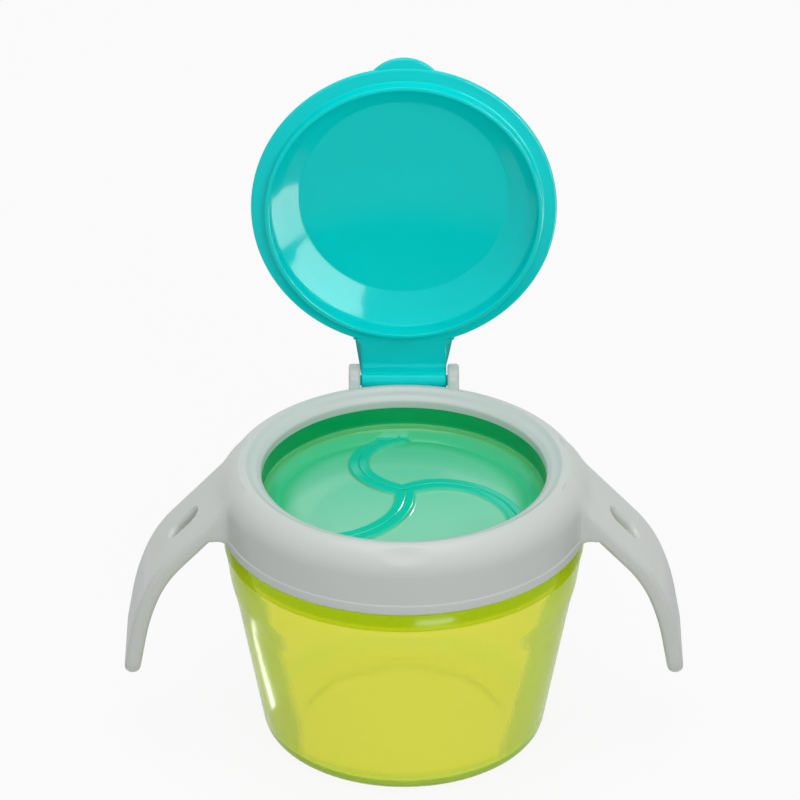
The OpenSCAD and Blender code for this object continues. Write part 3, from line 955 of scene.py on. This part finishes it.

# %% [markdown]
# ## The collar's finish
# The collar is a satin pearl grey with a thin gloss coat. Its handles carry
# painted shade: they are painted darker low on their outward faces, where they
# turn away from the light of the table. A smooth step on the sideways part of
# the surface's direction, times one on height, finds those faces. The slots'
# walls are duller, and carry painted light: they are painted yellower for the
# lime light that the pot throws up, the left one darker than the right.

# %% Collar plastic
pearl = Plastic("pearl_satin_plastic", Specular_IOR_Level=0.45, Coat_Roughness=0.25, Coat_Weight=0.15)
where, _, _, pz = pearl.place()
nx = pearl.facing()[0]
# painted shade: handles painted darker low on their outward faces
painted_side_shade = pearl.ease(nx * nx, 0.82, 0.98) * pearl.ease(pz, 56.0, 44.0)
pearl_dark, pearl_light, pearl_painted_shade = (0.57, 0.60, 0.575, 1), (0.60, 0.635, 0.61, 1), (0.44, 0.465, 0.455, 1)
pearl_col = pearl.blend(pearl.noise(where, 0.04), pearl_dark, pearl_light)
pearl.feed("Base Color", pearl.blend(painted_side_shade, pearl_col, pearl_painted_shade))
pearl.feed("Roughness", 0.36 + 0.08 * pearl.noise(where, 0.3))
pearl.bump(pearl.noise(where, 3.0, 3.0), 0.06, 0.0001)
pearl.on(collar_ring, *handles, *ears)

slot_wall = Plastic("pearl_slot_wall", Roughness=0.5)
px = slot_wall.place()[1]
# painted light: lime glow on the slots' walls, painted darker in the left handle
slot_left_painted_glow, slot_right_painted_glow = (0.54, 0.545, 0.31, 1), (0.70, 0.72, 0.54, 1)
slot_wall.feed("Base Color", slot_wall.blend(slot_wall.ease(px, -20, 20), slot_left_painted_glow, slot_right_painted_glow))
for h in handles:
    h.data.materials.append(slot_wall.mat)
print(pearl.mat.name, "on", 1 + len(handles) + len(ears), "pieces")

# %% [markdown]
# ## The insert's finish
# The elastomer is see-through and teal, and what shows through it is the lime
# of the pot. Refraction in a thin curved skin is slow and noisy, so the skin
# is opaque and carries painted light and shade itself: painted light makes it
# paler towards the front, painted shade makes it deep green in the gutter, and
# painted lime light makes it yellower at its outer band. The marks stored on
# the mesh tell where the ribs and the gutter are.

# %% Insert elastomer
soft = Plastic("soft_teal_elastomer", IOR=1.4, Specular_IOR_Level=0.4)
where, _, py, _ = soft.place()
# painted light and shade: the skin paler at the front, darker at the back
skin_painted_light, skin_painted_shade = (0.26, 0.66, 0.45, 1), (0.075, 0.60, 0.33, 1)
# painted shade in the gutter and painted lime light on the outer band; the ribs keep the thicker elastomer's
# own deeper teal
gutter_painted_shade, band_painted_lime_light, rib_col = (0.05, 0.54, 0.25, 1), (0.10, 0.50, 0.165, 1), (0.004, 0.57, 0.37, 1)
front_light_mask = 0.5 - py / 64.0 + 0.25 * soft.noise(where, 0.035)
out = soft.mark("out")
skin_col = soft.blend(front_light_mask, skin_painted_shade, skin_painted_light)
skin_col = soft.blend(soft.ease(out, 0.72, 0.88), skin_col, gutter_painted_shade)
skin_col = soft.blend(soft.ease(out, 0.93, 0.97), skin_col, band_painted_lime_light)
soft.feed("Base Color", soft.blend(soft.mark("rib"), skin_col, rib_col))
soft.feed("Roughness", 0.14 + 0.06 * soft.noise(where, 0.4))
soft.on(*flaps)
print(soft.mat.name, "on", len(flaps), "flaps")

# %% Insert wall elastomer
wall = Plastic("soft_wall_painted_shade", IOR=1.4)
where, _, _, pz = wall.place()
# painted shade and lime glow: the elastomer's teal painted darker and greener on the wall inside the mouth;
# painted highlight on the bead at its foot
wall_shaded_dark, wall_shaded_light, bead_painted_highlight = (0.0005, 0.35, 0.10, 1), (0.001, 0.40, 0.115, 1), (0.10, 0.48, 0.17, 1)
wall_shaded_col = wall.blend(wall.noise(where, 0.05), wall_shaded_dark, wall_shaded_light)
wall.feed("Base Color", wall.blend(wall.ease(pz, RIM - 5.0, RIM - 5.3), wall_shaded_col, bead_painted_highlight))
wall.feed("Roughness", 0.14 + 0.08 * wall.noise(where, 0.4))
wall.on(insert_wall)
print(wall.mat.name, "on", insert_wall.name)

# %% [markdown]
# ## The pot's finish
# Clear plastic gets its colour in two ways: light is tinted each time that it
# crosses a skin, and more deeply the longer it travels inside the wall. So the
# shader lets light through with a tint, and a dye fills the wall. Real walls
# scatter light too, so a plain lime shader is mixed in on the outer skin, a
# little everywhere and more where the wall is seen edge on. Layer Weight tells
# how edge on a face is, and height and distance from the axis find the foot's
# edge and the band under the collar. The band is a darker, purer green: partly
# its thicker wall, partly painted shade from the collar above it.

# %% Where the pot is greener
lime = Plastic("lime_clear_plastic", IOR=1.20, Transmission_Weight=0.95, Specular_IOR_Level=0.4)
where, px, py, pz = lime.place()
edge_on = lime.node("ShaderNodeLayerWeight", None, {"Blend": 0.5})[1]
upright = lime.facing()[2]
on_wall = 1 - upright * upright
steep = lime.ease(edge_on + 0.12 * lime.noise(where, 0.05), 0.58, 0.645) * on_wall
from_axis = (px * px + py * py) ** 0.5
foot = lime.ease(pz, 7.0, 3.0) * lime.ease(from_axis, 32.9, 33.6)
edge = steep.larger(foot)
# the band under the collar: partly its thicker wall, partly painted shade from the collar
band_and_shade_mask = lime.ease(pz, BAND_FOOT - 0.8, BAND_FOOT - 0.2)
print("pot masks ready:", len(lime.tree.nodes), "nodes")

# %% Pot plastic
lime_dark, lime_light = (0.92, 0.91, 0.42, 1), (0.94, 0.93, 0.46, 1)
lime_edge, lime_band_and_shade = (0.78, 0.90, 0.36, 1), (0.50, 0.68, 0.003, 1)
clear_col = lime.blend(lime.noise(where, 0.03), lime_dark, lime_light)
clear_col = lime.blend(edge, clear_col, lime_edge)
lime.feed("Base Color", lime.blend(band_and_shade_mask, clear_col, lime_band_and_shade))
lime.feed("Roughness", 0.15 + 0.04 * lime.noise(where, 0.3))
lime.bump(lime.noise(where, 0.08, 1.0), 0.05, 0.0006)

haze_clear, haze_edge = (0.72, 0.76, 0.17, 1), (0.62, 0.82, 0.13, 1)
haze_foot, haze_band_and_shade = (0.66, 0.96, 0.12, 1), (0.45, 0.60, 0.001, 1)
haze_col = lime.blend(edge, haze_clear, haze_edge)
haze_col = lime.blend(foot, haze_col, haze_foot)
haze_col = lime.blend(band_and_shade_mask, haze_col, haze_band_and_shade)
haze = lime.node("ShaderNodeBsdfPrincipled", None,
                 {"Base Color": haze_col, "Roughness": 0.2, "Specular IOR Level": 0.02})[0]
outer_skin = lime.ease(from_axis - 0.172 * pz, 33.3, 34.0)
lime.mix_in(outer_skin * (1 - lime.inner_side()) * (0.15 + 0.55 * edge), haze)
dye = lime.node("ShaderNodeVolumeAbsorption", None, {"Color": (0.93, 0.95, 0.02, 1), "Density": 320.0})[0]
lime.plug(dye, lime.end.inputs["Volume"])
lime.on(pot)
print("materials:", [m.name for m in bpy.data.materials if m.users])

# %% [markdown]
# ## Table and backdrop
# A white table and a white world stand behind the object. Both look white to
# the camera, to mirrors and through clear plastic, but light the object no more
# than a plain grey room does: a Light Path node tells who is looking.

# %% Table
bpy.ops.mesh.primitive_plane_add(size=8, location=(0, 0, -0.0002))
table = bpy.context.object
table.name = "table"
white_top = Plastic("table_white", Base_Color=(0.60, 0.60, 0.60, 1), Roughness=0.9)
glow = white_top.node("ShaderNodeEmission", None, {"Strength": 1.0})[0]
white_top.mix_in(0.91 * white_top.looked_at(), glow)
white_top.on(table)
print("table:", [round(v, 2) for v in table.dimensions])

# %% World
world = bpy.data.worlds.new("studio")
bpy.context.scene.world = world
world.use_nodes = True
sky = Nodes(world.node_tree)
backdrop = sky.tree.nodes["Background"]
backdrop.inputs["Color"].default_value = (1, 1, 1, 1)
way = sky.node("ShaderNodeSeparateXYZ", None, {0: sky.node("ShaderNodeTexCoord")[0]})
level = 0.15 + 0.22 * (way[1] * way[1]) + 0.45 * way[2].larger(0.0)
strength = sky.node("ShaderNodeMapRange", None, {"Value": sky.looked_at(), "To Min": level, "To Max": 1.0})[0]
sky.plug(strength, backdrop.inputs["Strength"])
print("world:", len(sky.tree.nodes), "nodes")

# %% [markdown]
# ## Lamps
# Two big soft lamps in front and one above light the object evenly. They are
# hidden from the camera, and the two in front from mirrors as well, because
# their reflections would sit in the middle of the glossy lid.

# %% Lamps
def lamp(name, at, aim, size, power):
    """A soft rectangular lamp that neither the camera nor clear plastic sees."""
    data = bpy.data.lights.new(name, "AREA")
    data.shape, data.size, data.size_y, data.energy = "RECTANGLE", size[0], size[1], power
    obj = bpy.data.objects.new(name, data)
    obj.location = at
    obj.rotation_euler = (Vector(aim) - Vector(at)).to_track_quat("-Z", "Y").to_euler()
    obj.visible_camera = obj.visible_transmission = False
    bpy.context.scene.collection.objects.link(obj)
    return obj


for name, x, power in (("front_left", -0.15, 2.1), ("front_right", 0.50, 4.5)):
    lamp(name, (x, -1.2, 0.92), (0, 0, 0.07), (0.5, 0.6), power).visible_glossy = False
lamp("top", (0, 0.0, 1.3), (0, 0, 0.08), (0.9, 0.9), 5.7)

# %% [markdown]
# ## Windows that only show in gloss
# A studio shapes the highlights on glossy plastic with bright panels. Each
# panel here is a lamp that adds no plain light and is mirrored by chosen pieces
# only, which light linking allows. It stands where those pieces mirror it
# towards the camera.

# %% Windows
def window(name, at, turn, size, power, *seen_on):
    """A soft box that adds no light, and is mirrored by some pieces only."""
    obj = lamp(name, at, (0, 0, 0), size, power)
    obj.rotation_euler = turn.to_euler()
    obj.visible_diffuse = False
    group = bpy.data.collections.new(name + "_mirrors")
    for o in seen_on:
        group.objects.link(o)
    obj.light_linking.receiver_collection = group


def spin(axis, degrees):
    return Matrix.Rotation(math.radians(degrees), 4, axis)


UPWARD = spin("X", 180)
along, across = Vector((0.805, -0.486, 0.341)), Vector((0.481, 0.871, 0.104))
SLANT = Matrix((along, -across, -along.cross(across))).transposed()
window("window_high", (0.36, -0.3125, 0.421), spin("X", 32.3) @ spin("Y", 90), (0.69, 0.28), 10.0, *lid_parts)
window("window_low", (0.261, -0.050, 0.043), SLANT, (0.246, 0.12), 1.3, *lid_parts)
window("strip_left", (-0.0540, 0.0066, 0.001), spin("Z", 131) @ UPWARD, (0.034, 0.002), 0.005, pot)
window("strip_front", (0.041, -0.137, 0.001), spin("Z", 15) @ UPWARD, (0.05, 0.012), 0.09, pot)
window("window_insert", (0.25, 0.35, 0.35), spin("Z", 35) @ spin("Y", 50), (0.10, 0.14), 3.0,
       insert_wall, *flaps)
print("windows:", [c.name for c in bpy.data.collections if c.name.endswith("_mirrors")])

# %% [markdown]
# ## Camera
# A long lens from well back keeps the verticals calm. It looks down about
# thirty degrees from straight in front, and its length is chosen so that a
# millimetre on the object is about four pixels.

# %% Camera
TILT = math.radians(29.0)
AIM = Vector((-0.98, 0, 91.5)) * MM
DIST = 1.70
SENSOR, PICTURE_WIDE, PIXELS_PER_MM = 36.0, 800, 4.094
cam = bpy.data.cameras.new("camera")
cam.sensor_width = SENSOR
cam.lens = SENSOR * PIXELS_PER_MM * DIST / MM / PICTURE_WIDE
cam.clip_end = 20
eye = bpy.data.objects.new("camera", cam)
eye.location = AIM + Vector((0, -math.cos(TILT), math.sin(TILT))) * DIST
eye.rotation_euler = (math.pi / 2 - TILT, 0, 0)
bpy.context.scene.collection.objects.link(eye)
bpy.context.scene.camera = eye
bpy.context.scene.view_settings.view_transform = "Standard"
print("lens", round(cam.lens, 1), "mm")

# %% [markdown]
# ## The last step
# The materials in use are counted.

# %% Count the materials
print("materials in use:", sum(1 for m in bpy.data.materials if m.users))
